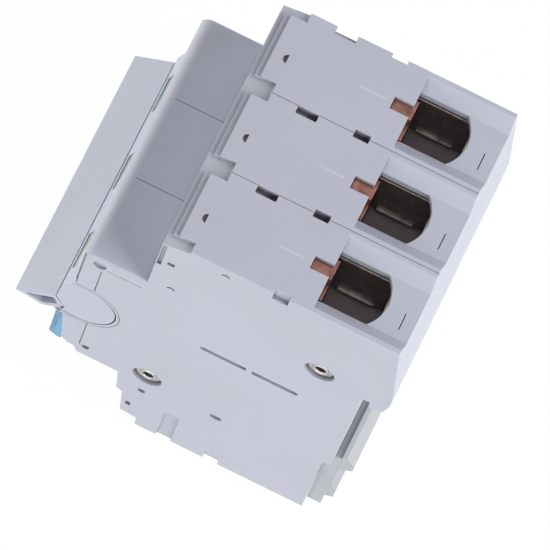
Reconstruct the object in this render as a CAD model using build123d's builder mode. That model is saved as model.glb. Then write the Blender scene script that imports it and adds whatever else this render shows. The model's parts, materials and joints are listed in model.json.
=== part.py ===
from build123d import *
import math
import os

# Three-pole switch disconnector for a 35 mm top-hat rail.
# Millimetres. X runs across the poles, -Y is the front, +Z is up.
# The origin is on the rail's front plane, at the middle of the rail and of the width.

os.makedirs("parts", exist_ok=True)

# Poles and outline
pole_count = 3
pole_pitch = 17.5
body_top = 44.1
body_bottom = -42.4
back_top = 2.5
back_hook = 4.9
shoulder_foot_y = -44.3
ledge_width = 1.05
ledge_drop = 0.8
nose_front = -57.0
nose_height = 45.0
nose_edge_radius = 2.2
nose_side_radius = 0.5
rail_height = 35.0
rail_grip = 1.5
wall = 1.6
side_wall = 1.2
clip_back_wall = 0.8
joint_groove = 0.07
fit = 0.1
running = 0.05

# Drum and lever
drum_setback = 2.5
drum_z = -0.5
drum_radius = 7.1
drum_gap = 0.3
drum_wall = 1.1
travel = 66.0
cover_top = 73.0
shaft_radius = 1.25
pivot_boss = 2.6
pivot_boss_length = 1.0
neck_half_angle = 36.0
lever_wall = 0.9
mark_width = 7.6
mark_height = 3.0
mark_thickness = 0.45

# Linkage and contacts
rotor_y = -21.5
rotor_radius = 5.5
crank = 3.0
pin_radius = 0.7
link_thickness = 1.4
link_x = 5.6
blade_length = 24.0
blade_width = 5.6
blade_thickness = 2.0
trunnion_radius = 1.5

# Terminals
bar_width = 8.6
bar_thickness = 2.0
bar_y = -15.4
tab_width = 2.45
tab_front = -18.7
window_half = 5.3
window_front = -15.0
window_back = -3.2
window_bow = 2.1
trough_depth = 2.5
trough_half = 7.85
cage_half = 6.0
cage_height = 13.1
cage_back = -2.65
cage_wall = 1.0
cage_back_wall = 0.9
cage_front_wall = 3.0
cage_clear = 13.65
screw_radius = 2.5
screw_head_radius = 3.5
screw_head_front = -36.0
screw_head_length = 3.0
access_radius = 3.0

# Rivets, flaps and rail clips
rivets = [(-37.8, -18.8), (-9.2, 20.1)]
rivet_radius = 1.9
rivet_bore = 1.05
rivet_head = 2.35
rivet_head_thickness = 0.45
rivet_recess = 1.1
rivet_recess_radius = 3.0
rivet_column = 3.3
flap_standoff = 0.7
flap_drop = 7.8
flap_length = 14.6
flap_pin = 0.5
flap_half_width = 7.6
ear_radius = 0.95
ear_width = 0.8
clip_half_width = 6.75
clip_jaw_depth = 4.0
clip_lip = 1.0
clip_back_y = -1.7

# Values worked out from the above
half_pitch = pole_pitch / 2
pole_x = [(i - (pole_count - 1) / 2) * pole_pitch for i in range(pole_count)]
half_body = pole_count * half_pitch
drum_y = nose_front + drum_setback
flap_y = nose_front - flap_standoff
flap_z = drum_z - flap_drop
ledge_y = shoulder_foot_y + ledge_width
shoulder_top_y = ledge_y + ledge_width
lower_foot_y = shoulder_foot_y + 1.1
lower_corner_y = shoulder_foot_y + 4.0
lower_recess_y = shoulder_foot_y + 7.6
mid_z = (body_top + body_bottom) / 2
nose_half = nose_height / 2
rail_half = rail_height / 2
inner_half = half_pitch - side_wall
ceiling = body_top - trough_depth - wall
chamber_height = cage_height + 0.9
floor_z = ceiling - chamber_height
screw_z = ceiling - 0.4 - cage_height / 2
partition = 1.3
drum_bore = drum_radius + drum_gap
cage_front = cage_back - cage_back_wall - cage_clear - cage_front_wall
screw_tip = bar_y - bar_thickness / 2 - fit
screw_seat = screw_head_front + screw_head_length + fit
boss_end = screw_seat + partition
mark_depth = 0.7
green_place = 0.38
red_angle = math.radians(-100.0)
red_sink = 0.16
scoop_radius = 0.9
scoop_depth = 0.7
slot_width = 1.3
crank_web = 1.7
crank_web_x = link_x - link_thickness / 2 - 0.3 - crank_web


def side_plane(x, y, z, turn=0.0):
    """A plane across the width: local x is +Y and local y is +Z, turned about +X."""
    a = math.radians(turn)
    return Plane(origin=(x, y, z), x_dir=(0, math.cos(a), math.sin(a)), z_dir=(1, 0, 0))


def at_end(z, top):
    """Height of a terminal feature: as given for the top end, mirrored for the bottom."""
    return z if top else 2 * mid_z - z


# The side outline, from the top back corner round the rail side, the bottom and the nose.
hook = [
    (back_hook + 0.1, rail_half + 2.6),
    (back_hook - 0.6, rail_half - 0.9),
    (rail_grip + 0.5, rail_half - 2.2),
    (rail_grip, rail_half - 1.6),
    (rail_grip, rail_half + 0.2),
    (0, rail_half + 0.2),
]
rail_side = [(0, -rail_half - 0.1), (clip_back_y, -rail_half - 0.9), (clip_back_y, body_bottom)]
lower_front = [
    (lower_recess_y + 0.1, body_bottom),
    (lower_recess_y - 0.1, body_bottom + 3.1),
    (lower_corner_y, body_bottom + 3.6),
    (lower_corner_y - 0.8, -nose_half - 8.0),
    (lower_foot_y + 0.8, -nose_half - 7.3),
    (lower_foot_y, -nose_half),
    (nose_front + 5.2, -nose_half),
    (nose_front + 4.4, -nose_half + 2.0),
    (nose_front + 2.9, -nose_half + 2.1),
    (nose_front + 1.6, -nose_half + 3.2),
    (nose_front + 0.1, drum_z - drum_radius + 0.4),
]
upper_front = [
    (nose_front, drum_z + drum_radius - 0.4),
    (nose_front - 0.1, nose_half),
    (shoulder_foot_y, nose_half),
    (shoulder_foot_y, body_top - 2 * ledge_drop),
    (ledge_y, body_top - 2 * ledge_drop),
    (ledge_y, body_top - ledge_drop),
    (shoulder_top_y, body_top - ledge_drop),
    (shoulder_top_y, body_top),
]
back_corner = [(back_top, body_top), (back_hook, rail_half + 6.0)]
outline = back_corner + hook + rail_side + lower_front + upper_front

# The hollow inside, one wall in from the outline.
hollow = [
    (back_top - wall, body_top),
    (back_hook - wall, rail_half + 6.0),
    (-wall, rail_half + 1.5),
    (-wall, -rail_half),
    (clip_back_y - clip_back_wall, -rail_half - 1.0),
    (clip_back_y - clip_back_wall, body_bottom),
    (lower_recess_y + 0.1 + wall, body_bottom),
    (lower_recess_y - 0.1 + wall, body_bottom + 3.6 + wall),
    (lower_corner_y + wall, body_bottom + 3.6 + wall),
    (lower_corner_y - 1.1 + wall, -nose_half - 6.8),
    (lower_foot_y + wall, -nose_half + wall),
    (nose_front + 4.6 + wall, -nose_half + wall),
    (nose_front + 2.0 + wall, -nose_half + 2.1 + wall),
    (nose_front + 0.2 + wall, drum_z - drum_radius),
    (nose_front + wall, drum_z + drum_radius),
    (nose_front + wall, nose_half - wall),
    (shoulder_foot_y + wall, nose_half - wall),
    (shoulder_foot_y + wall, body_top),
]

# The drum's front, in the drum's own plane: forward is -x.
facet_top = (-drum_radius * math.cos(math.radians(69.5)), drum_radius * math.sin(math.radians(69.5)))
facet_foot = (-4.3, 0.6)
root_top = (-4.4, -1.9)
root_foot = (-2.4, -5.1)
step_foot = (-2.43, -6.67)
lever_outline = [
    (-4.6, -2.1),
    (-11.9, -7.3),
    (-11.8, -7.8),
    (-9.3, -8.1),
    (-6.7, -8.8),
    (-5.4, -8.2),
    (-4.0, -6.9),
    (-2.55, -5.25),
]


def cut_box(x0, x1, y0, y1, z0, z1):
    """Cut a box given by its limits."""
    with BuildSketch(Plane.XY.offset(min(z0, z1))) as area:
        with Locations(((x0 + x1) / 2, (y0 + y1) / 2)):
            Rectangle(abs(x1 - x0), abs(y1 - y0))
    extrude(area.sketch, amount=abs(z1 - z0), mode=Mode.SUBTRACT)


def add_box(x0, x1, y0, y1, z0, z1):
    """Add a box given by its limits."""
    with BuildSketch(Plane.XY.offset(min(z0, z1))) as area:
        with Locations(((x0 + x1) / 2, (y0 + y1) / 2)):
            Rectangle(abs(x1 - x0), abs(y1 - y0))
    extrude(area.sketch, amount=abs(z1 - z0))


def terminal_walls(x, side, top):
    """The chamber round a cage, the partition below it and the boss that holds the screw."""
    back = back_top - 0.5 if top else clip_back_y - 0.5
    boss_front = shoulder_foot_y + wall - 0.1 if top else lower_corner_y + 0.3
    floor_front = shoulder_foot_y + wall - 0.1 if top else lower_foot_y + 0.9
    z_screw = at_end(screw_z, top)
    add_box(
        x, x + side * (inner_half + 0.1), floor_front, back,
        at_end(floor_z, top), at_end(floor_z - partition, top),
    )
    add_box(
        x + side * (cage_half + 0.25), x + side * (inner_half + 0.1), boss_end, back,
        at_end(floor_z - 0.1, top), at_end(ceiling + 0.1, top),
    )
    with BuildSketch(Plane.XZ.offset(-boss_end)) as area:
        with Locations((x, z_screw)):
            Circle(screw_head_radius + 1.3)
            Rectangle(2 * half_pitch, 4 * screw_head_radius, mode=Mode.INTERSECT)
        with Locations((x + side * half_pitch / 2, z_screw)):
            Rectangle(half_pitch, 4 * screw_head_radius, mode=Mode.INTERSECT)
    extrude(area.sketch, amount=boss_end - boss_front)


def terminal_cuts(x, side, top):
    """The trough, the window, the tab's slot, the bar's slot and the screwdriver's way in."""
    z_face = at_end(body_top, top)
    z_floor = at_end(body_top - trough_depth, top)
    z_screw = at_end(screw_z, top)
    with BuildSketch(Plane.XZ.offset(-window_front)) as area:
        with BuildLine():
            Polyline(
                (x - trough_half, z_face), (x + trough_half, z_face),
                (x + window_half, z_floor), (x - window_half, z_floor), close=True,
            )
        make_face()
    extrude(area.sketch, amount=window_front - back_hook - 1, mode=Mode.SUBTRACT)
    with BuildSketch(Plane.XY.offset(min(z_floor, at_end(ceiling, top)) - fit)) as area:
        left_corner = (x - window_half, window_back - window_bow)
        right_corner = (x + window_half, window_back - window_bow)
        with BuildLine():
            Polyline(
                left_corner, (x - window_half, window_front),
                (x + window_half, window_front), right_corner,
            )
            ThreePointArc(right_corner, (x, window_back), left_corner)
        make_face()
    extrude(area.sketch, amount=wall + 2 * fit, mode=Mode.SUBTRACT)
    cut_box(
        x - tab_width / 2 - fit, x + tab_width / 2 + fit, tab_front - fit, window_front + fit,
        at_end(ceiling - fit, top), at_end(body_top + fit, top),
    )
    cut_box(
        x - bar_width / 2 - fit, x + bar_width / 2 + fit,
        bar_y - bar_thickness / 2 - fit, bar_y + bar_thickness / 2 + fit,
        at_end(floor_z + fit, top), at_end(floor_z - partition - fit, top),
    )
    for radius, start, end in (
        (screw_radius + fit, boss_end + 1, screw_seat - fit),
        (screw_head_radius + fit, screw_seat, screw_head_front - fit),
        (access_radius, screw_head_front, shoulder_foot_y - 2),
    ):
        with BuildSketch(Plane.XZ.offset(-start)) as area:
            with Locations((x, z_screw)):
                Circle(radius)
        extrude(area.sketch, amount=start - end, mode=Mode.SUBTRACT)


def joint_pockets(x, side):
    """Small pockets where two poles meet, on the end faces."""
    edge = x + side * half_pitch
    for top in (True, False):
        cut_box(edge, edge - side * 0.8, -22.5, -19.4, at_end(body_top + 1, top), at_end(body_top - 2.8, top))
    if side < 0:
        cut_box(edge, edge + 1.5, -33.7, -29.5, body_top + 1, body_top - 2.4)
    else:
        cut_box(x + 0.05, x + 3.45, 0.2, 0.4, body_top, body_top - trough_depth - 0.8)
        scoop_x = x + scoop_radius + 0.6
        scoop_y = shoulder_top_y + 3.0
        with BuildSketch(Plane.XY.offset(body_top - scoop_depth)) as area:
            with Locations((scoop_x, scoop_y)):
                Circle(scoop_radius)
            with Locations((scoop_x, scoop_y + scoop_radius)):
                Rectangle(3 * scoop_radius, 2 * scoop_radius, mode=Mode.SUBTRACT)
        extrude(area.sketch, amount=scoop_depth + 1, mode=Mode.SUBTRACT)
    with BuildSketch(side_plane(edge, 0, 0)) as area:
        with BuildLine():
            Polyline(
                (shoulder_foot_y - 0.1, body_top - 2.2), (shoulder_foot_y - 0.1, body_top + 1),
                (shoulder_top_y + 3.2, body_top + 1), (shoulder_top_y + 3.2, body_top - 0.9), close=True,
            )
        make_face()
    extrude(area.sketch, amount=-side * 2.0, mode=Mode.SUBTRACT)
    if abs(edge) < half_body - 1:
        for start, end, z_face in (
            (shoulder_top_y + 3.2, back_top, body_top),
            (nose_front + nose_edge_radius, shoulder_foot_y, nose_half),
        ):
            cut_box(edge, edge - side * joint_groove, start, end, z_face + 0.1, z_face - 2 * joint_groove)


def side_marks(x, side):
    """Recesses on the outer face of the end poles."""
    face = side_plane(x + side * half_pitch, 0, 0)
    with BuildSketch(face) as area:
        with Locations(*rivets):
            Circle(rivet_recess_radius)
    extrude(area.sketch, amount=-side * rivet_recess, mode=Mode.SUBTRACT)
    with BuildSketch(face) as area:
        with Locations((-21.0, 5.7)):
            SlotOverall(20.0, slot_width)
            Rectangle(1.2, slot_width, mode=Mode.SUBTRACT)
    extrude(area.sketch, amount=-side * (side_wall + 0.1), mode=Mode.SUBTRACT)
    lower_rivet_y, lower_rivet_z = rivets[0]
    with BuildSketch(face) as area:
        with Locations((-30.7, body_bottom + 5.2)):
            SlotOverall(14.4, 3.0, rotation=90)
        with Locations((nose_front + 3.6, nose_half - 2.9)):
            Circle(1.35)
        with Locations((-23.2, -21.8)):
            SlotOverall(2.5, 1.7)
        with Locations((nose_front + 6.5, -nose_half + 3.6), (lower_rivet_y, lower_rivet_z - 7.3)):
            Circle(0.8)
        with Locations((lower_corner_y + 1.0, body_bottom + 7.9)):
            Rectangle(1.0, 1.6)
        with Locations((shoulder_foot_y + 2.8, body_top - 9.4)):
            Rectangle(1.4, 1.2)
        with Locations((shoulder_foot_y + 4.4, nose_half + 1.8), (shoulder_top_y + 10.6, body_top - 3.3)):
            Circle(0.8)
            with Locations((0, -0.6)):
                Circle(0.8, mode=Mode.SUBTRACT)
        with Locations(((shoulder_foot_y + ledge_y) / 2 + 0.1, body_top - 7.0)):
            Rectangle(ledge_width - 0.2, 9.0)
    extrude(area.sketch, amount=-side * 0.5, mode=Mode.SUBTRACT)
    with BuildSketch(face) as area:
        with Locations((nose_front + 0.5, nose_half - 7.6)):
            Rectangle(0.35, 13.8)
        with Locations((nose_front + 4.3, nose_half - 10.0)):
            Rectangle(0.2, 9.8)
        with Locations((nose_front + 8.6, nose_half - 3.7)):
            Rectangle(7.0, 0.2)
        with Locations((nose_front + 5.2, -nose_half + 9.4)):
            Rectangle(0.2, 10.8)
        with Locations((drum_y, drum_z)):
            Circle(drum_bore + 0.75)
            Circle(drum_bore + 0.6, mode=Mode.SUBTRACT)
        with Locations((drum_y - 10, drum_z)):
            Rectangle(16, 20, mode=Mode.SUBTRACT)
    extrude(area.sketch, amount=-side * 0.3, mode=Mode.SUBTRACT)


def half_shell(number, x, side):
    """One moulded half of a pole's case: a tray that is open on the pole's centre plane."""
    outer = abs(x + side * half_pitch) > half_body - 1
    word = "right" if side > 0 else "left"
    name = f"pole_{number}_{word}_shell"
    with BuildPart() as shell:
        with BuildSketch(Plane.YZ.offset(x)):
            with BuildLine():
                Polyline(*outline, close=True)
            make_face()
        extrude(amount=side * half_pitch)
        nose_edges = shell.edges().filter_by(Axis.X).filter_by_position(
            Axis.Y, nose_front - 0.2, nose_front - 0.05
        )
        fillet(nose_edges, radius=nose_edge_radius)
        if outer:
            nose_side = shell.edges().filter_by(Axis.Y).filter_by_position(
                Axis.Z, nose_half - 0.01, nose_half + 0.01
            ).sort_by(Axis.X)
            fillet(nose_side[-1] if side > 0 else nose_side[0], radius=nose_side_radius)
        with BuildSketch(Plane.YZ.offset(x)):
            with BuildLine():
                Polyline(*hollow, close=True)
            make_face()
            with Locations((nose_front / 2, mid_z)):
                Rectangle(100, 2 * (ceiling - mid_z), mode=Mode.INTERSECT)
        extrude(amount=side * inner_half, mode=Mode.SUBTRACT)
        for top in (True, False):
            terminal_walls(x, side, top)
            terminal_cuts(x, side, top)
        joint_pockets(x, side)
        with BuildSketch(side_plane(x, 0, 0)):
            with Locations(*rivets):
                Circle(rivet_column)
        extrude(amount=side * (inner_half + 0.1))
        with BuildSketch(side_plane(x, 0, 0)):
            with Locations(*rivets):
                Circle(rivet_radius + running)
        extrude(amount=side * half_pitch, mode=Mode.SUBTRACT)
        ear_x = x + side * (flap_half_width + fit)
        with BuildSketch(side_plane(ear_x, flap_y, flap_z)):
            Circle(ear_radius)
            with Locations((ear_radius, 0)):
                Rectangle(2 * ear_radius, 2 * ear_radius)
            Circle(flap_pin + running, mode=Mode.SUBTRACT)
        extrude(amount=side * ear_width)
        with BuildSketch(side_plane(x, drum_y, drum_z)):
            Circle(drum_bore)
        extrude(amount=side * half_pitch, mode=Mode.SUBTRACT)
        with BuildSketch(side_plane(x, rotor_y, drum_z)):
            Circle(trunnion_radius + running)
        extrude(amount=side * (half_pitch - 0.4), mode=Mode.SUBTRACT)
        if outer:
            side_marks(x, side)
        else:
            neck = math.radians(neck_half_angle)
            reach = drum_bore + 0.6
            with BuildSketch(side_plane(x + side * inner_half, drum_y, drum_z)):
                Circle(pivot_boss)
                with BuildLine():
                    Polyline(
                        (0, 0), (reach * math.cos(neck), -reach * math.sin(neck)),
                        (reach * math.cos(neck), reach * math.sin(neck)), close=True,
                    )
                make_face()
                Circle(shaft_radius + running, mode=Mode.SUBTRACT)
            extrude(amount=side * side_wall)
    shell.part.label = name
    export_step(shell.part, f"parts/{name}.step")


def drum_section(inset=0.0):
    """The drum's section, or the space inside its wall: a disc with a facet and the lever's root."""
    Circle(drum_radius - inset)
    front_points = (facet_top, facet_foot, root_top, root_foot, step_foot)
    with BuildLine() as front:
        Polyline(
            *[(px + inset, pz) for px, pz in front_points],
            (-drum_radius - 1, -drum_radius - 1), (-drum_radius - 1, drum_radius + 1), close=True,
        )
    make_face(front.edges(), mode=Mode.SUBTRACT)


def mark_plane(x, colour, depth):
    """A plane on the drum where a coloured mark lies: green on the facet, red on the round part."""
    if colour == "green":
        slope = (facet_top[0] - facet_foot[0], facet_top[1] - facet_foot[1])
        size = math.hypot(*slope)
        out = (-slope[1] / size, slope[0] / size)
        spot = (facet_foot[0] + green_place * slope[0], facet_foot[1] + green_place * slope[1])
    else:
        out = (-math.cos(red_angle), math.sin(red_angle))
        spot = (out[0] * (drum_radius - red_sink), out[1] * (drum_radius - red_sink))
    origin = (x, drum_y + spot[0] - depth * out[0], drum_z + spot[1] - depth * out[1])
    return Plane(origin=origin, x_dir=(1, 0, 0), z_dir=(0, out[0], out[1]))


for number, x in enumerate(pole_x, start=1):
    half_shell(number, x, -1)
    half_shell(number, x, 1)

# Tubular rivets through the whole stack, with flared heads in the side recesses.
for word, (y, z) in zip(("lower", "upper"), rivets):
    head_start = half_body - rivet_recess + running
    rivet_end = head_start + rivet_head_thickness
    with BuildPart() as rivet:
        with BuildSketch(side_plane(-rivet_end, y, z)):
            Circle(rivet_radius)
        extrude(amount=2 * rivet_end)
        for side in (-1, 1):
            with BuildSketch(side_plane(side * head_start, y, z)):
                Circle(rivet_head)
            extrude(amount=side * rivet_head_thickness)
        with BuildSketch(side_plane(-half_body, y, z)):
            Circle(rivet_bore)
        extrude(amount=2 * half_body, mode=Mode.SUBTRACT)
    rivet.part.label = f"{word}_rivet"
    export_step(rivet.part, f"parts/{word}_rivet.step")

# Drum: a curved cover across the full width, an end disc at each side and a crank web in each pole.
cover_end = -(cover_top + travel)
with BuildPart() as drum:
    with BuildSketch(side_plane(-half_body, drum_y, drum_z)):
        drum_section()
    extrude(amount=2 * half_body)
    with BuildSketch(side_plane(-half_body, drum_y, drum_z)):
        drum_section(drum_wall)
    extrude(amount=2 * half_body, mode=Mode.SUBTRACT)
    with BuildSketch(side_plane(-half_body, drum_y, drum_z)):
        back_start = math.radians(180 - cover_top)
        back_end = math.radians(180 - cover_end - 360)
        with BuildLine():
            Polyline(
                (0, 0),
                (20 * math.cos(back_start), 20 * math.sin(back_start)),
                (20, 0),
                (20 * math.cos(back_end), 20 * math.sin(back_end)),
                close=True,
            )
        make_face()
    extrude(amount=2 * half_body, mode=Mode.SUBTRACT)
    for side in (-1, 1):
        with BuildSketch(side_plane(side * half_body, drum_y, drum_z)):
            drum_section()
        extrude(amount=-side * side_wall)
        with BuildSketch(side_plane(side * (half_body - side_wall), drum_y, drum_z)):
            Circle(pivot_boss)
        extrude(amount=-side * pivot_boss_length)
    for x in pole_x:
        with BuildSketch(side_plane(x + crank_web_x, drum_y, drum_z)):
            drum_section()
        extrude(amount=crank_web)
    with BuildSketch(side_plane(-half_body + side_wall, drum_y, drum_z)):
        Circle(shaft_radius + 0.02)
    extrude(amount=2 * (half_body - side_wall), mode=Mode.SUBTRACT)
    crank_off = (-crank * math.sin(math.radians(travel / 2)), crank * math.cos(math.radians(travel / 2)))
    for x in pole_x:
        with BuildSketch(side_plane(x + crank_web_x, drum_y, drum_z)):
            with Locations(crank_off):
                Circle(pin_radius + running)
        extrude(amount=crank_web, mode=Mode.SUBTRACT)
        for colour in ("green", "red"):
            with BuildSketch(mark_plane(x, colour, mark_depth)):
                Rectangle(mark_width + fit, mark_height + fit)
            extrude(amount=2, mode=Mode.SUBTRACT)
drum.part.label = "drum"
export_step(drum.part, "parts/drum.step")

# Lever: a hollow wedge across the full width, open at both ends.
with BuildPart() as lever:
    with BuildSketch(side_plane(-half_body, drum_y, drum_z)):
        with BuildLine():
            Polyline(*lever_outline, close=True)
        make_face()
        offset(amount=-lever_wall, kind=Kind.INTERSECTION, mode=Mode.SUBTRACT)
    extrude(amount=2 * half_body)
lever.part.label = "lever"
export_step(lever.part, "parts/lever.step")

with BuildPart() as shaft:
    with BuildSketch(side_plane(-half_body + side_wall + fit, drum_y, drum_z)):
        Circle(shaft_radius)
    extrude(amount=2 * (half_body - side_wall - fit))
shaft.part.label = "drum_shaft"
export_step(shaft.part, "parts/drum_shaft.step")

for number, x in enumerate(pole_x, start=1):
    for colour in ("green", "red"):
        with BuildPart() as mark:
            with BuildSketch(mark_plane(x, colour, mark_depth)):
                Rectangle(mark_width, mark_height)
            extrude(amount=mark_thickness)
        mark.part.label = f"{colour}_mark_{number}"
        export_step(mark.part, f"parts/{colour}_mark_{number}.step")

    # Link from the drum's crank web to the contact rotor, with a round pin at each end.
    link_start = drum_y + crank_off[0]
    link_reach = rotor_y - drum_y
    pin_z = drum_z + crank_off[1]
    with BuildPart() as link:
        with BuildSketch(side_plane(x + link_x - link_thickness / 2, link_start, pin_z)):
            with Locations((link_reach / 2, 0)):
                SlotOverall(link_reach + 2 * pin_radius, 2 * pin_radius)
        extrude(amount=link_thickness)
        with BuildSketch(side_plane(x + crank_web_x + running, link_start, pin_z)):
            with Locations((0, 0), (link_reach, 0)):
                Circle(pin_radius)
        extrude(amount=link_x - crank_web_x - running)
    link.part.label = f"link_{number}"
    export_step(link.part, f"parts/link_{number}.step")

    # Contact rotor, drawn in the closed position and turned back by the travel.
    rotor_end = crank_web_x + crank_web
    with BuildPart() as rotor:
        with BuildSketch(side_plane(x - inner_half + 0.3, rotor_y, drum_z, travel)):
            Circle(rotor_radius)
        extrude(amount=inner_half - 0.3 + rotor_end)
        with BuildSketch(side_plane(x - half_pitch + 0.5, rotor_y, drum_z, travel)):
            Circle(trunnion_radius)
        extrude(amount=2 * half_pitch - 1.0)
        with BuildSketch(side_plane(x - blade_width / 2 - running, rotor_y, drum_z, travel)):
            Rectangle(blade_thickness + 2 * running, 3 * rotor_radius)
        extrude(amount=blade_width + 2 * running, mode=Mode.SUBTRACT)
        with BuildSketch(side_plane(x + crank_web_x, rotor_y, drum_z, travel)):
            with Locations((-crank_off[0], crank_off[1])):
                Circle(pin_radius + running)
        extrude(amount=crank_web, mode=Mode.SUBTRACT)
    rotor.part.label = f"contact_rotor_{number}"
    export_step(rotor.part, f"parts/contact_rotor_{number}.step")

    with BuildPart() as blade:
        with BuildSketch(side_plane(x - blade_width / 2, rotor_y, drum_z, travel)):
            Rectangle(blade_thickness, blade_length)
        extrude(amount=blade_width)
    blade.part.label = f"contact_bridge_{number}"
    export_step(blade.part, f"parts/contact_bridge_{number}.step")

    for top in (True, False):
        word = "upper" if top else "lower"
        bar_end = at_end(ceiling - 0.2, top)
        sign = 1 if top else -1
        contact_y = rotor_y + sign * (blade_thickness / 2 + fit + 0.9 + bar_thickness / 2)
        contact_z = drum_z + sign * (blade_length / 2 - 3.3)
        with BuildPart() as bar:
            with BuildSketch(side_plane(x - bar_width / 2, 0, 0)):
                with BuildLine():
                    FilletPolyline(
                        (bar_y, bar_end),
                        (bar_y, drum_z + sign * 20.5),
                        (contact_y, drum_z + sign * 16.5),
                        (contact_y, contact_z),
                        radius=1.6,
                    )
                trace(line_width=bar_thickness)
            extrude(amount=bar_width)
            pad_y = contact_y - sign * (bar_thickness / 2 + 0.45)
            with Locations((x, pad_y, drum_z + sign * (blade_length / 2 - 1.5))):
                Box(blade_width, 0.9, 3.6)
            tab_back = bar_y + bar_thickness / 2
            with Locations((x, (tab_front + tab_back) / 2, at_end(body_top - 1.0 - 1.7, top))):
                Box(tab_width, tab_back - tab_front, 3.4)
        bar.part.label = f"{word}_contact_bar_{number}"
        export_step(bar.part, f"parts/{word}_contact_bar_{number}.step")

        # Cage: a box open along Z that draws the wire against the bar.
        cage_mid = (cage_back + cage_front) / 2
        cage_len = cage_back - cage_front
        z_screw = at_end(screw_z, top)
        with BuildPart() as cage:
            with Locations((x, cage_mid, z_screw)):
                Box(2 * cage_half, cage_len, cage_height)
            inner_mid = cage_back - cage_back_wall - cage_clear / 2
            with Locations((x, inner_mid, z_screw)):
                Box(2 * (cage_half - cage_wall), cage_clear, cage_height, mode=Mode.SUBTRACT)
            fillet(cage.edges().filter_by(Axis.Z).group_by(Axis.Y)[-1], radius=1.0)
            with BuildSketch(Plane.XZ.offset(-cage_front - cage_front_wall)):
                with Locations((x, z_screw)):
                    Circle(screw_radius + running)
            extrude(amount=cage_front_wall, mode=Mode.SUBTRACT)
        cage.part.label = f"{word}_cage_{number}"
        export_step(cage.part, f"parts/{word}_cage_{number}.step")

        with BuildPart() as screw:
            with BuildSketch(Plane.XZ.offset(-screw_tip)):
                with Locations((x, z_screw)):
                    Circle(screw_radius)
            extrude(amount=screw_tip - screw_head_front)
            with BuildSketch(Plane.XZ.offset(-screw_head_front - screw_head_length)):
                with Locations((x, z_screw)):
                    Circle(screw_head_radius)
            extrude(amount=screw_head_length)
            with BuildSketch(Plane.XZ.offset(-screw_head_front)):
                with Locations((x, z_screw)):
                    Rectangle(2 * screw_head_radius, 1.0)
                    Rectangle(1.0, 4.4)
            extrude(amount=-1.6, mode=Mode.SUBTRACT)
        screw.part.label = f"{word}_screw_{number}"
        export_step(screw.part, f"parts/{word}_screw_{number}.step")

    # Label flap: hangs from two pins and ends in a finger hook.
    with BuildPart() as flap:
        with BuildSketch(side_plane(x - flap_half_width, flap_y, flap_z)):
            with BuildLine():
                Polyline(
                    (0.5, -0.4), (0.45, -flap_length + 1.2), (1.9, -flap_length + 0.4),
                    (2.1, -flap_length), (1.4, -flap_length), (-0.4, -flap_length + 1.1),
                    (-0.5, -2.0), (-0.5, -0.4), close=True,
                )
            make_face()
            Circle(0.62)
        extrude(amount=2 * flap_half_width)
        with BuildSketch(side_plane(x - flap_half_width - ear_width, flap_y, flap_z)):
            Circle(flap_pin)
        extrude(amount=2 * (flap_half_width + ear_width))
    flap.part.label = f"label_flap_{number}"
    export_step(flap.part, f"parts/label_flap_{number}.step")

    # Rail clip: a stepped slider whose jaw grips the rail's lower edge.
    with BuildPart() as clip:
        jaw_top = -rail_half - fit
        with BuildSketch(side_plane(x - clip_half_width, 0, 0)):
            with BuildLine():
                Polyline(
                    (clip_back_y + fit, -rail_half - 1.2), (0.1, jaw_top - 0.25),
                    (0.1, jaw_top), (rail_grip - 0.2, jaw_top), (rail_grip - 0.2, jaw_top + clip_lip),
                    (2.2, jaw_top + clip_lip), (clip_jaw_depth, jaw_top - 1.2),
                    (clip_jaw_depth, jaw_top - 3.2), (1.6, jaw_top - 5.2), (1.6, -32.0),
                    (2.8, -33.0), (2.8, -36.5), (1.2, -37.5), (1.2, body_bottom + 0.4),
                    (clip_back_y + fit, body_bottom + 0.4), close=True,
                )
            make_face()
        extrude(amount=2 * clip_half_width)
        with Locations((x, 0, -28.0)):
            Box(2 * clip_half_width - 5, 8, 4.4, mode=Mode.SUBTRACT)
        with Locations((x, 2.4, -34.7)):
            Box(5.0, 2.0, 1.6, mode=Mode.SUBTRACT)
    clip.part.label = f"rail_clip_{number}"
    export_step(clip.part, f"parts/rail_clip_{number}.step")
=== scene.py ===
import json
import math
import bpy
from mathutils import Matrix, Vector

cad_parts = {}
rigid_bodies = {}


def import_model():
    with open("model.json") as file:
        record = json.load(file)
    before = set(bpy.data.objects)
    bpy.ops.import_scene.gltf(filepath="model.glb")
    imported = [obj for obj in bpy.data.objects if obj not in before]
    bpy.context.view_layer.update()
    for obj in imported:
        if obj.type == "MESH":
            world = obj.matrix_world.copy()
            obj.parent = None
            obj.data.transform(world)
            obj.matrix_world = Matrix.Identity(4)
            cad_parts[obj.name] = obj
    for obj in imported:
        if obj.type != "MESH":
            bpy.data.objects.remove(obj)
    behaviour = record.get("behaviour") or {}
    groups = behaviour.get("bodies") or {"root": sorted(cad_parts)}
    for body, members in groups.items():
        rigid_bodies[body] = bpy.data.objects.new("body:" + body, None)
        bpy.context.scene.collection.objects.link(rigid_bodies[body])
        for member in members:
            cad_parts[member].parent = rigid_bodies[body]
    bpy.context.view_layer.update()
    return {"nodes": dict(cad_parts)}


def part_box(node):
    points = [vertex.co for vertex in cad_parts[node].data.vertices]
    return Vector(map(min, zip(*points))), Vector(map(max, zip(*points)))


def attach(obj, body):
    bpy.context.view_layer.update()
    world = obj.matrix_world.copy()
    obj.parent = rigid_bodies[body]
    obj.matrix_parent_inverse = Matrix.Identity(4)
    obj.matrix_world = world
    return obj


bl_info = {
    "name": "Rail Switch Finish",
    "version": (1, 0, 0),
    "blender": (4, 5, 0),
    "location": "View3D > Sidebar > Rail Switch",
    "description": "Materials, small fittings, lights and camera for the three-pole rail switch",
    "category": "Object",
}

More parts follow.
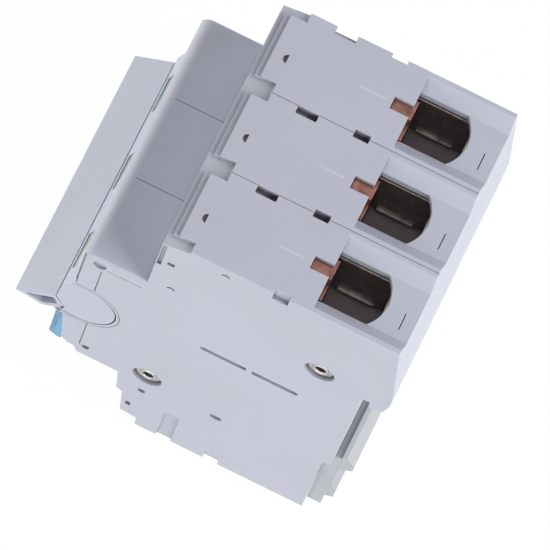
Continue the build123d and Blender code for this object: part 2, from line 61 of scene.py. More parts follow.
import bmesh
import bpy
from bpy.props import FloatProperty, FloatVectorProperty, IntProperty, PointerProperty
from bpy.types import Operator, Panel, PropertyGroup
from mathutils import Matrix, Vector

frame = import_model()
nodes = frame["nodes"]

POLES = (1, 2, 3)
ENDS = ("upper", "lower")
MM = 0.001

# Sizes of the part that the pieces added here go by.
POLE_PITCH = 17.5 * MM
CLIP_TRAVEL = 3.5 * MM
SCREW_HEAD = 3.0 * MM
SHANK_RADIUS = 2.5 * MM

# A moulding's parting flash: a fine raised line that ends at the upper tab.
FLASH_SIZE = Vector((0.11 * MM, 5.2 * MM, 0.05 * MM))

# A screw's thread stops short of the head and of the tip, and its root lies inside the shank.
THREAD_MARGIN = 0.6 * MM
THREAD_ROOT = 0.06 * MM

# Two raised beads run along the inside of each clamp cage, in a paler steel than the cage as a
# painted highlight.
BEAD_SIZE = Vector((0.5 * MM, 7.2 * MM, 0.5 * MM))
BEAD_INSET = 1.2 * MM
BEAD_DEPTH = 0.4 * MM
BEAD_Y = -9.4 * MM

# A rivet's rims are rolled on this radius, and their middles lie just inside its ends.
RIM_RADIUS = 1.45 * MM
RIM_SET_IN = 0.05 * MM

# A flap's finger ridges lie across its lower end, clear of both side edges.
RIDGE_PITCH = 0.8 * MM
RIDGE_DEPTH = 0.25 * MM
RIDGE_HEIGHT = 0.3 * MM
RIDGE_SIDE_GAP = 2.0 * MM
RIDGE_START = Vector((0, 0.62 * MM, 2.4 * MM))

# Colours that no setting changes, among them the painted shade laid into recesses, and how far
# round it a recess looks for walls.
WHITE = (1, 1, 1, 1)
PAINTED_RECESS_SHADE = (0.108, 0.092, 0.080)
RECESS_REACH = 1.9 * MM
WORN_STREAK = (0.86, 0.90, 0.88)
# Cyan for the clear flaps' edges: a painted highlight.
FLAP_EDGE_HIGHLIGHT = (0.10, 0.62, 0.80)

# Numbers of the colour sockets of a Mix node, whose names its other sockets have too.
MIX_FIRST, MIX_SECOND, MIX_RESULT = 6, 7, 2

# The stage. Each lamp has a name, the direction that its light comes from, watts and a colour.
LAMP_DISTANCE = 0.9
LAMP_SIZE = 0.7
LAMPS = (
    ("back_light", (0.25, 1.0, 0.75), 7.6, (1, 1, 1)),
    ("low_front_light", (0.0, -1.0, 0.1), 6.8, (1.0, 0.99, 0.95)),
    ("side_light", (1.0, -0.25, 0.35), 2.6, (1, 1, 1)),
    ("far_light", (-1.0, 0.2, 0.6), 1.3, (1, 1, 1)),
)
FLOOR_SIZE = 3.0
FLOOR_GAP = 0.1 * MM
FLOOR_GLOW = 0.98
VIEW_END = 20


def middle(node):
    """The middle of a CAD node's box."""
    low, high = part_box(node)
    return (low + high) / 2


class CaseSettings(PropertyGroup):
    """Colours and surface of the moulded plastic."""

    case_colour: FloatVectorProperty(
        name="Case colour", description="Colour of the half shells", subtype="COLOR",
        size=3, min=0, max=1, default=(0.560, 0.579, 0.676),
    )
    lever_colour: FloatVectorProperty(
        name="Lever colour", description="Colour of the drum and the lever", subtype="COLOR",
        size=3, min=0, max=1, default=(0.560, 0.584, 0.688),
    )
    clip_colour: FloatVectorProperty(
        name="Clip colour", description="Colour of the rail clips", subtype="COLOR",
        size=3, min=0, max=1, default=(0.50, 0.52, 0.55),
    )
    rotor_colour: FloatVectorProperty(
        name="Rotor colour", description="Colour of the contact rotors", subtype="COLOR",
        size=3, min=0, max=1, default=(0.030, 0.030, 0.034),
    )
    green: FloatVectorProperty(
        name="Green mark", description="Colour of the marks that show when the switch is off",
        subtype="COLOR", size=3, min=0, max=1, default=(0.31, 0.43, 0.38),
    )
    red: FloatVectorProperty(
        name="Red mark", description="Colour of the marks that show when the switch is on",
        subtype="COLOR", size=3, min=0, max=1, default=(0.62, 0.030, 0.022),
    )
    flap_colour: FloatVectorProperty(
        name="Flap colour", description="Tint of the clear label flaps", subtype="COLOR",
        size=3, min=0, max=1, default=(0.40, 0.74, 1.0),
    )
    edge_radius: FloatProperty(
        name="Edge radius", description="Rounding of the moulded edges", unit="LENGTH",
        default=0.16 * MM, min=0, max=1 * MM,
    )


class MetalSettings(PropertyGroup):
    """Colours of the metal pieces and sizes of the small fittings."""

    copper: FloatVectorProperty(
        name="Copper", description="Colour of the contact bars", subtype="COLOR",
        size=3, min=0, max=1, default=(0.36, 0.172, 0.140),
    )
    zinc: FloatVectorProperty(
        name="Zinc", description="Colour of the screws", subtype="COLOR",
        size=3, min=0, max=1, default=(0.58, 0.58, 0.59),
    )
    cage_steel: FloatVectorProperty(
        name="Cage steel", description="Colour of the clamp cages", subtype="COLOR",
        size=3, min=0, max=1, default=(0.36, 0.312, 0.285),
    )
    nickel: FloatVectorProperty(
        name="Nickel", description="Colour of the rivets", subtype="COLOR",
        size=3, min=0, max=1, default=(0.62, 0.61, 0.60),
    )
    thread_pitch: FloatProperty(
        name="Thread pitch", description="Rise of the clamp screw's thread in one turn",
        unit="LENGTH", default=1.0 * MM, min=0.2 * MM, max=3 * MM,
    )
    thread_height: FloatProperty(
        name="Thread height", description="How far the thread's crest stands proud",
        unit="LENGTH", default=0.04 * MM, min=0.01 * MM, max=0.5 * MM,
    )
    rim_thickness: FloatProperty(
        name="Rim thickness", description="Section radius of a rivet's rolled rim",
        unit="LENGTH", default=0.3 * MM, min=0.05 * MM, max=1 * MM,
    )
    ridge_count: IntProperty(
        name="Flap ridges", description="Finger ridges on each label flap",
        default=3, min=1, max=8,
    )


class StageSettings(PropertyGroup):
    """Light, floor and camera."""

    lens: FloatProperty(
        name="Lens", description="Focal length on a 36 mm sensor",
        default=589.1, min=20, max=1000,
    )
    distance: FloatProperty(
        name="Distance", description="From the camera to the point it looks at",
        unit="LENGTH", default=1.657, min=0.1, max=10,
    )
    azimuth: FloatProperty(
        name="Azimuth", description="Camera's direction round the part, from +X", unit="ROTATION",
        default=math.radians(2.70),
    )
    elevation: FloatProperty(
        name="Elevation", description="Camera's height angle", unit="ROTATION",
        default=math.radians(67.06),
    )
    roll: FloatProperty(
        name="Roll", description="Turn of the picture about the line of sight", unit="ROTATION",
        default=math.radians(23.64),
    )
    target: FloatVectorProperty(
        name="Target", description="Point that the camera looks at", subtype="XYZ", unit="LENGTH",
        size=3, default=(4.41 * MM, -24.67 * MM, 0),
    )
    fill: FloatProperty(
        name="Fill light", description="Strength of the light from all round",
        default=0.12, min=0, max=2,
    )
    floor_colour: FloatVectorProperty(
        name="Floor", description="Colour of the floor", subtype="COLOR",
        size=3, min=0, max=1, default=(0.93, 0.93, 0.93),
    )


def settings(context):
    """The three groups of settings, kept on the scene."""
    scene = context.scene
    return scene.switch_case, scene.switch_metal, scene.switch_stage


# Materials


class Shader:
    """A material in the making: its node tree, its surface shader and short ways to add nodes."""

    def __init__(self, name):
        self.material = bpy.data.materials.new(name)
        self.material.use_nodes = True
        self.tree = self.material.node_tree
        self.surface = self.tree.nodes["Principled BSDF"]
        self.place = self.add("ShaderNodeTexCoord").outputs["Object"]

    def add(self, kind, **values):
        """Adds a node and sets its properties."""
        node = self.tree.nodes.new(kind)
        for key, value in values.items():
            setattr(node, key, value)
        return node

    def link(self, start, end):
        """Joins an output to an input."""
        self.tree.links.new(start, end)

    def noise(self, scale, detail=2.0, stretch=(1, 1, 1), roughness=0.5):
        """Noise on object coordinates, with scale times stretch features per metre on each axis."""
        mapping = self.add("ShaderNodeMapping")
        mapping.inputs["Scale"].default_value = stretch
        self.link(self.place, mapping.inputs["Vector"])
        noise = self.add("ShaderNodeTexNoise")
        noise.inputs["Scale"].default_value = scale
        noise.inputs["Detail"].default_value = detail
        noise.inputs["Roughness"].default_value = roughness
        self.link(mapping.outputs["Vector"], noise.inputs["Vector"])
        return noise.outputs["Fac"]

    def spread(self, value, low, high, start=0.3, end=0.7):
        """Maps a value from start..end, by default where most noise lies, to low..high."""
        node = self.add("ShaderNodeMapRange")
        node.inputs["From Min"].default_value = start
        node.inputs["From Max"].default_value = end
        node.inputs["To Min"].default_value = low
        node.inputs["To Max"].default_value = high
        self.link(value, node.inputs["Value"])
        return node.outputs["Result"]

    def scale(self, value, low, high):
        """Maps a value from 0..1 to low..high."""
        return self.spread(value, low, high, 0.0, 1.0)

    def multiply(self, first, second):
        """The product of two values, kept in 0..1."""
        node = self.add("ShaderNodeMath", operation="MULTIPLY", use_clamp=True)
        self.link(first, node.inputs[0])
        self.link(second, node.inputs[1])
        return node.outputs[0]

    def blend(self, factor, first, second):
        """Mixes two colours by a factor. Each is a colour or a socket."""
        node = self.add("ShaderNodeMix", data_type="RGBA")
        self.link(factor, node.inputs["Factor"])
        self.give(node.inputs[MIX_FIRST], first)
        self.give(node.inputs[MIX_SECOND], second)
        return node.outputs[MIX_RESULT]

    def give(self, socket, colour):
        """Sets a colour socket to a colour, or links it."""
        if isinstance(colour, bpy.types.NodeSocket):
            self.link(colour, socket)
        else:
            socket.default_value = (*colour[:3], 1)

    def round_edges(self, radius):
        """A normal that rounds the edges, and how much it differs from the flat one."""
        bevel = self.add("ShaderNodeBevel", samples=6)
        bevel.inputs["Radius"].default_value = radius
        geometry = self.add("ShaderNodeNewGeometry")
        dot = self.add("ShaderNodeVectorMath", operation="DOT_PRODUCT")
        self.link(bevel.outputs["Normal"], dot.inputs[0])
        self.link(geometry.outputs["Normal"], dot.inputs[1])
        edge = self.spread(dot.outputs["Value"], 1.0, 0.0, 0.80, 0.995)
        return bevel.outputs["Normal"], edge

    def recess(self, reach, alone):
        """How much painted shade a point gets: 0 on open faces and 1 deep in grooves, of the piece
        alone or with its neighbours.
        """
        node = self.add("ShaderNodeAmbientOcclusion", samples=6, only_local=alone)
        node.inputs["Distance"].default_value = reach
        return self.spread(node.outputs["AO"], 1.0, 0.0, 0.15, 0.78)

    def bump(self, height, distance, strength, normal=None):
        """Fine relief, on top of another normal if one is given."""
        node = self.add("ShaderNodeBump")
        node.inputs["Distance"].default_value = distance
        node.inputs["Strength"].default_value = strength
        self.link(height, node.inputs["Height"])
        if normal is not None:
            self.link(normal, node.inputs["Normal"])
        self.link(node.outputs["Normal"], self.surface.inputs["Normal"])

    def finish(self, colour, roughness, **numbers):
        """Sets the surface's colour, roughness and plain numbers, and returns the material."""
        self.give(self.surface.inputs["Base Color"], colour)
        self.link(roughness, self.surface.inputs["Roughness"])
        for name, value in numbers.items():
            self.surface.inputs[name.replace("_", " ")].default_value = value
        return self.material


def shade(colour, factor):
    """A colour made lighter or darker."""
    return tuple(min(1.0, c * factor) for c in colour)


def moulded_plastic(name, colour, edge_radius, grain=0.05, roughness=0.42, alone=True):
    """Spark-eroded moulding: slight clouding, a fine grain, a painted highlight on rounded edges
    and painted shade in recesses.
    """
    shader = Shader(name)
    normal, edge = shader.round_edges(edge_radius)
    cloud = shader.spread(shader.noise(45, 4), 0.0, 1.0)
    body = shader.blend(cloud, shade(colour, 0.975), shade(colour, 1.02))
    speck = shader.spread(shader.noise(1500, 3), 0.0, 0.35, 0.55, 0.8)
    body = shader.blend(speck, body, shade(colour, 0.95))
    # Painted highlight: the colour is lightened along the rounded edges.
    body = shader.blend(shader.scale(edge, 0.0, 0.8), body, shade(colour, 1.42))
    # Painted shade: grooves, pockets and hollows are darkened towards a dusky colour.
    shade_in_recesses = shader.scale(shader.recess(RECESS_REACH, alone), 0.0, 0.8)
    body = shader.blend(shade_in_recesses, body, PAINTED_RECESS_SHADE)
    shader.bump(shader.noise(3200, 3, roughness=0.6), grain * MM, 0.35, normal)
    gloss = shader.spread(shader.noise(300, 3), roughness - 0.04, roughness + 0.05)
    return shader.finish(body, gloss, IOR=1.46)


def printed_mark(name, colour, streak):
    """Gloss mark colour with pale lengthwise streaks, as a worn hot-stamped field."""
    shader = Shader(name)
    grain = shader.noise(420, 4, stretch=(0.35, 2.2, 2.2))
    body = shader.blend(shader.spread(grain, 0.0, streak, 0.45, 0.75), colour, WORN_STREAK)
    fine = shader.spread(shader.noise(1800, 2), 0.0, 0.25)
    body = shader.blend(fine, body, shade(colour, 0.8))
    shader.bump(shader.noise(2500, 2), 0.02 * MM, 0.3)
    gloss = shader.spread(shader.noise(500, 2), 0.24, 0.36)
    return shader.finish(body, gloss, IOR=1.5)


def bright_metal(name, colour, roughness, stretch, edge_radius, tarnish=0.75, glint_gain=1.4):
    """Bare or plated metal with drawn lines, a cloudy film and a painted glint along its edges,
    broken up in places.
    """
    shader = Shader(name)
    normal, edge = shader.round_edges(edge_radius)
    film = shader.spread(shader.noise(600, 5, roughness=0.6), 0.0, 1.0, 0.38, 0.66)
    body = shader.blend(film, colour, shade(colour, tarnish))
    lines = shader.noise(2600, 2, stretch=stretch)
    body = shader.blend(shader.spread(lines, 0.0, 0.35), body, shade(colour, 0.82))
    # Painted glint: the rounded edges are lightened, in patches set by noise.
    worn = shader.spread(shader.noise(900, 3), 0.25, 1.0, 0.42, 0.6)
    edge_glint = shader.multiply(shader.scale(edge, 0.0, 0.9), worn)
    body = shader.blend(edge_glint, body, shade(colour, glint_gain))
    shader.bump(lines, 0.02 * MM, 0.35, normal)
    gloss = shader.scale(film, roughness, roughness + 0.12)
    return shader.finish(body, gloss, Metallic=1.0)


def clear_plastic(name, colour):
    """Clear tinted flap: a painted cyan highlight along its edges, with faint flow lines."""
    shader = Shader(name)
    normal, edge = shader.round_edges(0.3 * MM)
    # Painted highlight: cyan along the flap's rounded edges.
    body = shader.blend(shader.scale(edge, 0.0, 0.5), colour, FLAP_EDGE_HIGHLIGHT)
    flow = shader.noise(160, 3, stretch=(1.0, 1.0, 0.3))
    shader.bump(flow, 0.03 * MM, 0.25, normal)
    gloss = shader.spread(shader.noise(700, 2), 0.10, 0.18)
    return shader.finish(body, gloss, Transmission_Weight=0.72, IOR=1.49)


def paint(node, material):
    """Gives a CAD node its material."""
    slots = nodes[node].data.materials
    slots.clear()
    slots.append(material)


# Geometry Nodes helpers


def new_tree(name, inputs):
    """A geometry tree with the given inputs, each (name, socket kind, default)."""
    tree = bpy.data.node_groups.new(name, "GeometryNodeTree")
    tree.interface.new_socket("Geometry", in_out="INPUT", socket_type="NodeSocketGeometry")
    for label, kind, default in inputs:
        socket = tree.interface.new_socket(label, in_out="INPUT", socket_type=kind)
        socket.default_value = default
    tree.interface.new_socket("Geometry", in_out="OUTPUT", socket_type="NodeSocketGeometry")
    start = tree.nodes.new("NodeGroupInput")
    end = tree.nodes.new("NodeGroupOutput")
    return tree, start.outputs, end.inputs["Geometry"]


def step(tree, kind, links=(), values=(), **settings_of_node):
    """Adds a node to a geometry tree, with its properties, plain values and links."""
    node = tree.nodes.new(kind)
    for key, value in settings_of_node.items():
        setattr(node, key, value)
    for key, value in dict(values).items():
        node.inputs[key].default_value = value
    for key, source in dict(links).items():
        tree.links.new(source, node.inputs[key])
    return node


def close_tree(tree, geometry, end, material):
    """Ends a tree in Realize Instances and Set Material."""
    realized = step(tree, "GeometryNodeRealizeInstances", {"Geometry": geometry})
    painted = step(
        tree, "GeometryNodeSetMaterial", {"Geometry": realized.outputs["Geometry"]},
        {"Material": material},
    )
    tree.links.new(painted.outputs["Geometry"], end)


def grow(name, tree, values, body):
    """Runs a geometry tree with these values and rides the mesh that it makes on a body."""
    carrier = bpy.data.objects.new(name, bpy.data.meshes.new(name))
    bpy.context.scene.collection.objects.link(carrier)
    modifier = carrier.modifiers.new("grow", "NODES")
    modifier.node_group = tree
    named = {s.name: s.identifier for s in tree.interface.items_tree if s.in_out == "INPUT"}
    for key, value in values.items():
        modifier[named[key]] = value
    bpy.context.view_layer.update()
    graph = bpy.context.evaluated_depsgraph_get()
    mesh = bpy.data.meshes.new_from_object(carrier.evaluated_get(graph))
    carrier.modifiers.clear()
    carrier.data = mesh
    mesh.name = name
    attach(carrier, body)


def sweep(tree, curve, radius, corners, caps=False):
    """Sweeps a round section with so many corners along a curve."""
    section = step(
        tree, "GeometryNodeCurvePrimitiveCircle", {"Radius": radius}, {"Resolution": corners},
    )
    links = {"Curve": curve.outputs["Curve"], "Profile Curve": section.outputs["Curve"]}
    return step(tree, "GeometryNodeCurveToMesh", links, {"Fill Caps": caps})


def row(tree, piece, count, start, offset):
    """Sets copies of a piece in a row. The count is a number or a socket."""
    line = step(tree, "GeometryNodeMeshLine", {"Start Location": start, "Offset": offset})
    if isinstance(count, bpy.types.NodeSocket):
        tree.links.new(count, line.inputs["Count"])
    else:
        line.inputs["Count"].default_value = count
    links = {"Points": line.outputs["Mesh"], "Instance": piece}
    return step(tree, "GeometryNodeInstanceOnPoints", links).outputs["Instances"]


def thread_tree(material):
    """A helical ridge wound round an axis along Y."""
    tree, given, end = new_tree("Screw thread", [
        ("Centre", "NodeSocketVector", (0, 0, 0)),
        ("Radius", "NodeSocketFloat", 2.5 * MM),
        ("Turns", "NodeSocketFloat", 12.0),
        ("Length", "NodeSocketFloat", 12 * MM),
        ("Crest", "NodeSocketFloat", 0.2 * MM),
    ])
    helix = step(
        tree, "GeometryNodeCurveSpiral",
        {
            "Rotations": given["Turns"], "Start Radius": given["Radius"],
            "End Radius": given["Radius"], "Height": given["Length"],
        },
        {"Resolution": 24},
    )
    swept = sweep(tree, helix, given["Crest"], 4, caps=True)
    laid = step(
        tree, "GeometryNodeTransform",
        {"Geometry": swept.outputs["Mesh"], "Translation": given["Centre"]},
        {"Rotation": (math.radians(90), 0, 0)},
    )
    close_tree(tree, laid.outputs["Geometry"], end, material)
    return tree


def rim_tree(material):
    """Rolled rims at both ends of a tubular rivet, on an axis along X."""
    tree, given, end = new_tree("Rivet rims", [
        ("Centre", "NodeSocketVector", (0, 0, 0)),
        ("Radius", "NodeSocketFloat", 2.0 * MM),
        ("Section", "NodeSocketFloat", 0.3 * MM),
        ("Span", "NodeSocketFloat", 50 * MM),
    ])
    ring = step(
        tree, "GeometryNodeCurvePrimitiveCircle", {"Radius": given["Radius"]}, {"Resolution": 48},
    )
    swept = sweep(tree, ring, given["Section"], 10)
    turned = step(
        tree, "GeometryNodeTransform", {"Geometry": swept.outputs["Mesh"]},
        {"Rotation": (0, math.radians(90), 0)},
    )
    reach = step(tree, "ShaderNodeCombineXYZ", {"X": given["Span"]})
    half = step(
        tree, "ShaderNodeVectorMath", {0: reach.outputs["Vector"]}, {1: (0.5, 0, 0)},
        operation="MULTIPLY",
    )
    first = step(
        tree, "ShaderNodeVectorMath", {0: given["Centre"], 1: half.outputs["Vector"]},
        operation="SUBTRACT",
    )
    rims = row(
        tree, turned.outputs["Geometry"], 2, first.outputs["Vector"], reach.outputs["Vector"],
    )
    close_tree(tree, rims, end, material)
    return tree


def rib_tree(name, material):
    """A row of like ribs: small blocks set side by side from a start point along an offset."""
    tree, given, end = new_tree(name, [
        ("Count", "NodeSocketInt", 4),
        ("Start", "NodeSocketVector", (0, 0, 0)),
        ("Offset", "NodeSocketVector", (MM, 0, 0)),
        ("Size", "NodeSocketVector", (MM, MM, MM)),
    ])
    block = step(tree, "GeometryNodeMeshCube", {"Size": given["Size"]})
    ribs = row(tree, block.outputs["Mesh"], given["Count"], given["Start"], given["Offset"])
    close_tree(tree, ribs, end, material)
    return tree


# Operators, one for each group of like pieces


class SWITCH_OT_case(Operator):
    """Give the six half shells their plastic and their parting flash"""

    bl_idname = "switch.case"
    bl_label = "Case shells"

    def execute(self, context):
        case, _, _ = settings(context)
        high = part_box("pole_1_left_shell")[1]
        plastic = moulded_plastic("case plastic", case.case_colour, case.edge_radius, alone=False)
        for pole in POLES:
            for side in ("left", "right"):
                paint(f"pole_{pole}_{side}_shell", plastic)

        # The flash is a real raised line, coloured paler than the case as a painted highlight.
        pale = moulded_plastic("flash plastic", shade(case.case_colour, 1.5), 0.02 * MM)
        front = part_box("upper_contact_bar_1")[0].y
        grow("parting_flash", rib_tree("Parting flash", pale), {
            "Count": len(POLES),
            "Start": Vector((high.x, front - FLASH_SIZE.y / 2, high.z)),
            "Offset": Vector((POLE_PITCH, 0, 0)),
            "Size": FLASH_SIZE,
        }, "case")
        return {"FINISHED"}


class SWITCH_OT_lever(Operator):
    """Finish the drum, the lever and the coloured marks"""

    bl_idname = "switch.lever"
    bl_label = "Drum and lever"

    def execute(self, context):
        case, metal, _ = settings(context)
        plastic = moulded_plastic(
            "lever plastic", case.lever_colour, case.edge_radius, grain=0.04, roughness=0.36,
        )
        paint("drum", plastic)
        paint("lever", plastic)
        green = printed_mark("green mark", case.green, 0.9)
        red = printed_mark("red mark", case.red, 0.25)
        for pole in POLES:
            paint(f"green_mark_{pole}", green)
            paint(f"red_mark_{pole}", red)
        steel = bright_metal("drawn steel", metal.zinc, 0.28, (0.1, 1, 1), 0.05 * MM)
        paint("drum_shaft", steel)
        return {"FINISHED"}


class SWITCH_OT_contacts(Operator):
    """Finish the contact bars, bridges, rotors and links"""

    bl_idname = "switch.contacts"
    bl_label = "Contacts and linkage"

    def execute(self, context):
        case, metal, _ = settings(context)
        # The copper's edges get a strong painted glint, over its real tarnish film.
        copper = bright_metal(
            "copper", metal.copper, 0.34, (1, 1, 0.12), 0.16 * MM, tarnish=0.36, glint_gain=2.0,
        )
        plate = bright_metal("link steel", metal.zinc, 0.25, (1, 0.1, 1), 0.03 * MM)
        rotor = moulded_plastic(
            "rotor plastic", case.rotor_colour, case.edge_radius, roughness=0.48,
        )
        for pole in POLES:
            for end in ENDS:
                paint(f"{end}_contact_bar_{pole}", copper)
            paint(f"contact_bridge_{pole}", copper)
            paint(f"link_{pole}", plate)
            paint(f"contact_rotor_{pole}", rotor)
        return {"FINISHED"}


class SWITCH_OT_clamps(Operator):
    """Finish the clamp cages with their beads and the clamp screws with their threads"""

    bl_idname = "switch.clamps"
    bl_label = "Terminal clamps"

    def execute(self, context):
        _, metal, _ = settings(context)
        # The cage steel's edges get a very strong painted glint, seen as bright specks along its
        # rims.
        steel = bright_metal(
            "cage steel", metal.cage_steel, 0.36, (1, 1, 0.08), 0.14 * MM,
            tarnish=0.7, glint_gain=3.4,
        )
        zinc = bright_metal("zinc plate", metal.zinc, 0.27, (1, 0.2, 1), 0.1 * MM)
        threads = thread_tree(zinc)
        # The beads are raised ribs in a paler steel than the cage: a painted highlight along its
        # walls.
        worn = bright_metal("bead highlight steel", metal.zinc, 0.4, (1, 0.2, 1), 0.1 * MM, tarnish=0.4)
        beads = rib_tree("Cage beads", worn)
        for pole in POLES:
            for end in ENDS:
                cage = f"{end}_cage_{pole}"
                screw = f"{end}_screw_{pole}"
                paint(cage, steel)
                paint(screw, zinc)
                self.add_thread(f"{end}_thread_{pole}", screw, threads, metal)
                self.add_beads(f"{end}_bead_{pole}", cage, beads, end == "upper")
        return {"FINISHED"}

    @staticmethod
    def add_thread(name, screw, tree, metal):
        """Winds the thread round a screw's shank, from just inside its tip towards the head."""
        low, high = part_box(screw)
        length = high.y - (low.y + SCREW_HEAD) - 2 * THREAD_MARGIN
        start = middle(screw)
        start.y = high.y - THREAD_MARGIN
        grow(name, tree, {
            "Centre": start,
            "Radius": SHANK_RADIUS - THREAD_ROOT,
            "Turns": length / metal.thread_pitch,
            "Length": length,
            "Crest": THREAD_ROOT + metal.thread_height,
        }, screw)

    @staticmethod
    def add_beads(name, cage, tree, on_low_wall):
        """Lays a bead along each side of a cage, on its low or its high wall."""
        low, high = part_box(cage)
        height = low.z + BEAD_DEPTH if on_low_wall else high.z - BEAD_DEPTH
        grow(name, tree, {
            "Count": 2,
            "Start": Vector((low.x + BEAD_INSET, BEAD_Y, height)),
            "Offset": Vector((high.x - low.x - 2 * BEAD_INSET, 0, 0)),
            "Size": BEAD_SIZE,
        }, cage)


class SWITCH_OT_rivets(Operator):
    """Finish the two tubular rivets and roll their rims"""

    bl_idname = "switch.rivets"
    bl_label = "Rivets"

    def execute(self, context):
        _, metal, _ = settings(context)
        nickel = bright_metal("nickel plate", metal.nickel, 0.25, (0.3, 1, 1), 0.1 * MM)
        rims = rim_tree(nickel)
        for end in ENDS:
            rivet = f"{end}_rivet"
            paint(rivet, nickel)
            low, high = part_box(rivet)
            grow(f"{end}_rivet_rims", rims, {
                "Centre": middle(rivet),
                "Radius": RIM_RADIUS,
                "Section": metal.rim_thickness,
                "Span": high.x - low.x - 2 * RIM_SET_IN,
            }, "case")
        return {"FINISHED"}


class SWITCH_OT_flaps(Operator):
    """Finish the clear label flaps and their finger ridges"""

    bl_idname = "switch.flaps"
    bl_label = "Label flaps"

    def execute(self, context):
        case, metal, _ = settings(context)
        clear = clear_plastic("clear blue plastic", case.flap_colour)
        ridges = rib_tree("Flap ridges", clear)
        for pole in POLES:
            flap = f"label_flap_{pole}"
            paint(flap, clear)
            low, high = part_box(flap)
            width = high.x - low.x - 2 * RIDGE_SIDE_GAP
            grow(f"flap_ridges_{pole}", ridges, {
                "Count": metal.ridge_count,
                "Start": Vector((middle(flap).x, low.y, low.z)) + RIDGE_START,
                "Offset": Vector((0, 0, RIDGE_PITCH)),
                "Size": Vector((width, RIDGE_DEPTH, RIDGE_HEIGHT)),
            }, f"flap_{pole}")
        return {"FINISHED"}


class SWITCH_OT_clips(Operator):
    """Finish the three sprung rail clips"""

    bl_idname = "switch.clips"
    bl_label = "Rail clips"

    def execute(self, context):
        case, _, _ = settings(context)
        plastic = moulded_plastic(
            "clip plastic", case.clip_colour, case.edge_radius, roughness=0.38,
        )
        for pole in POLES:
            paint(f"rail_clip_{pole}", plastic)
        return {"FINISHED"}


# Stage


def seen_directly(tree):
    """1 for rays that show the background: from the camera, mirrored or through clear plastic."""
    path = tree.nodes.new("ShaderNodeLightPath")
    total = path.outputs["Is Camera Ray"]
    for name in ("Is Glossy Ray", "Is Transmission Ray"):
        add = tree.nodes.new("ShaderNodeMath")
        add.operation = "ADD"
        add.use_clamp = True
        tree.links.new(total, add.inputs[0])
        tree.links.new(path.outputs[name], add.inputs[1])
        total = add.outputs[0]
    return total


def mix_shaders(tree, factor, first, second, output):
    """Mixes two shaders by a factor into a tree's output."""
    mix = tree.nodes.new("ShaderNodeMixShader")
    tree.links.new(factor, mix.inputs["Fac"])
    tree.links.new(first, mix.inputs[1])
    tree.links.new(second, mix.inputs[2])
    tree.links.new(mix.outputs["Shader"], output.inputs["Surface"])


def floor_material(colour):
    """Pale floor that shows white and keeps a soft shadow."""
    shader = Shader("pale floor")
    mottle = shader.spread(shader.noise(12, 3), 0.0, 1.0)
    body = shader.blend(mottle, shade(colour, 0.99), colour)
    shader.surface.inputs["Roughness"].default_value = 0.8
    shader.give(shader.surface.inputs["Base Color"], body)
    glow = shader.add("ShaderNodeEmission")
    glow.inputs["Color"].default_value = WHITE
    glow.inputs["Strength"].default_value = 1.0
    share = shader.scale(seen_directly(shader.tree), 0.0, FLOOR_GLOW)
    output = shader.tree.nodes["Material Output"]
    mix_shaders(
        shader.tree, share, shader.surface.outputs["BSDF"], glow.outputs["Emission"], output,
    )
    return shader.material


def new_floor(colour):
    """A wide floor just below the rail clips at their lowest."""
    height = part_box("pole_1_left_shell")[0].z - CLIP_TRAVEL - FLOOR_GAP
    mesh = bpy.data.meshes.new("floor")
    form = bmesh.new()
    bmesh.ops.create_grid(form, x_segments=2, y_segments=2, size=FLOOR_SIZE)
    bmesh.ops.translate(form, verts=form.verts, vec=(0, 0, height))
    form.to_mesh(mesh)
    form.free()
    mesh.materials.append(floor_material(colour))
    return bpy.data.objects.new("floor", mesh)


def new_lamp(name, direction, watts, colour):
    """A square lamp that faces the part from a direction."""
    light = bpy.data.lights.new(name, "AREA")
    light.shape = "SQUARE"
    light.size = LAMP_SIZE
    light.energy = watts
    light.color = colour
    lamp = bpy.data.objects.new(name, light)
    way = Vector(direction).normalized()
    lamp.location = way * LAMP_DISTANCE
    lamp.rotation_euler = way.to_track_quat("Z", "Y").to_euler()
    return lamp


def new_world(fill):
    """A dim white room that is seen as full white."""
    world = bpy.data.worlds.new("soft room")
    world.use_nodes = True
    tree = world.node_tree
    tree.nodes.clear()
    output = tree.nodes.new("ShaderNodeOutputWorld")
    dim = tree.nodes.new("ShaderNodeBackground")
    dim.inputs["Color"].default_value = WHITE
    dim.inputs["Strength"].default_value = fill
    white = tree.nodes.new("ShaderNodeBackground")
    white.inputs["Color"].default_value = WHITE
    mix_shaders(
        tree, seen_directly(tree), dim.outputs["Background"], white.outputs["Background"], output,
    )
    return world


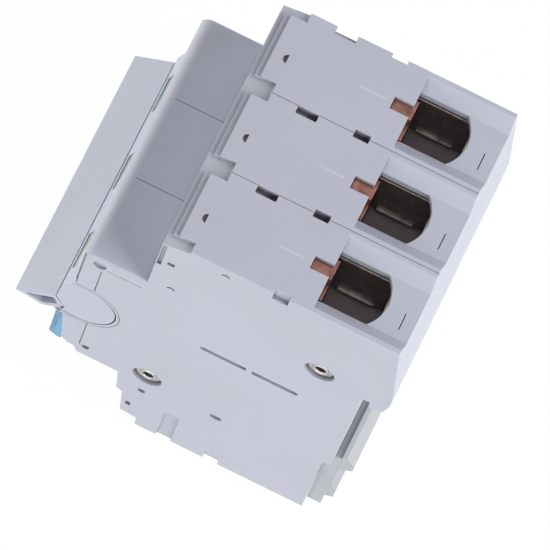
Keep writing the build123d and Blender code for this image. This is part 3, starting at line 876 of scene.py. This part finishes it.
def new_camera(stage):
    """The camera that the settings place."""
    lens = bpy.data.cameras.new("camera")
    lens.lens = stage.lens
    lens.clip_end = VIEW_END
    camera = bpy.data.objects.new("camera", lens)
    way = Vector((
        math.cos(stage.elevation) * math.cos(stage.azimuth),
        math.cos(stage.elevation) * math.sin(stage.azimuth),
        math.sin(stage.elevation),
    ))
    turn = way.to_track_quat("Z", "Y").to_matrix() @ Matrix.Rotation(stage.roll, 3, "Z")
    place = Matrix.Translation(Vector(stage.target) + way * stage.distance)
    camera.matrix_world = place @ turn.to_4x4()
    return camera


class SWITCH_OT_stage(Operator):
    """Set the floor, the lights, the background and the camera"""

    bl_idname = "switch.stage"
    bl_label = "Stage"

    def execute(self, context):
        _, _, stage = settings(context)
        scene = context.scene
        objects = scene.collection.objects
        floor = new_floor(stage.floor_colour)
        objects.link(floor)
        for lamp in LAMPS:
            objects.link(new_lamp(*lamp))
        scene.world = new_world(stage.fill)
        scene.camera = new_camera(stage)
        objects.link(scene.camera)
        scene.view_settings.view_transform = "Standard"
        return {"FINISHED"}


# Panel and registration

OPERATORS = (
    SWITCH_OT_case,
    SWITCH_OT_lever,
    SWITCH_OT_contacts,
    SWITCH_OT_clamps,
    SWITCH_OT_rivets,
    SWITCH_OT_flaps,
    SWITCH_OT_clips,
    SWITCH_OT_stage,
)


class SWITCH_PT_panel(Panel):
    """Lists the settings and the steps that finish the switch"""

    bl_idname = "SWITCH_PT_panel"
    bl_label = "Rail Switch"
    bl_space_type = "VIEW_3D"
    bl_region_type = "UI"
    bl_category = "Rail Switch"

    def draw(self, context):
        for group in settings(context):
            column = self.layout.column(align=True)
            for key in group.__annotations__:
                column.prop(group, key)
        for operator in OPERATORS:
            self.layout.operator(operator.bl_idname)


CLASSES = (CaseSettings, MetalSettings, StageSettings, *OPERATORS, SWITCH_PT_panel)


def register():
    for item in CLASSES:
        bpy.utils.register_class(item)
    bpy.types.Scene.switch_case = PointerProperty(type=CaseSettings)
    bpy.types.Scene.switch_metal = PointerProperty(type=MetalSettings)
    bpy.types.Scene.switch_stage = PointerProperty(type=StageSettings)


def unregister():
    del bpy.types.Scene.switch_stage
    del bpy.types.Scene.switch_metal
    del bpy.types.Scene.switch_case
    for item in reversed(CLASSES):
        bpy.utils.unregister_class(item)


def main():
    """Registers the add-on and runs each step."""
    register()
    for operator in OPERATORS:
        family, name = operator.bl_idname.split(".")
        getattr(getattr(bpy.ops, family), name)()


if __name__ == "__main__":
    main()
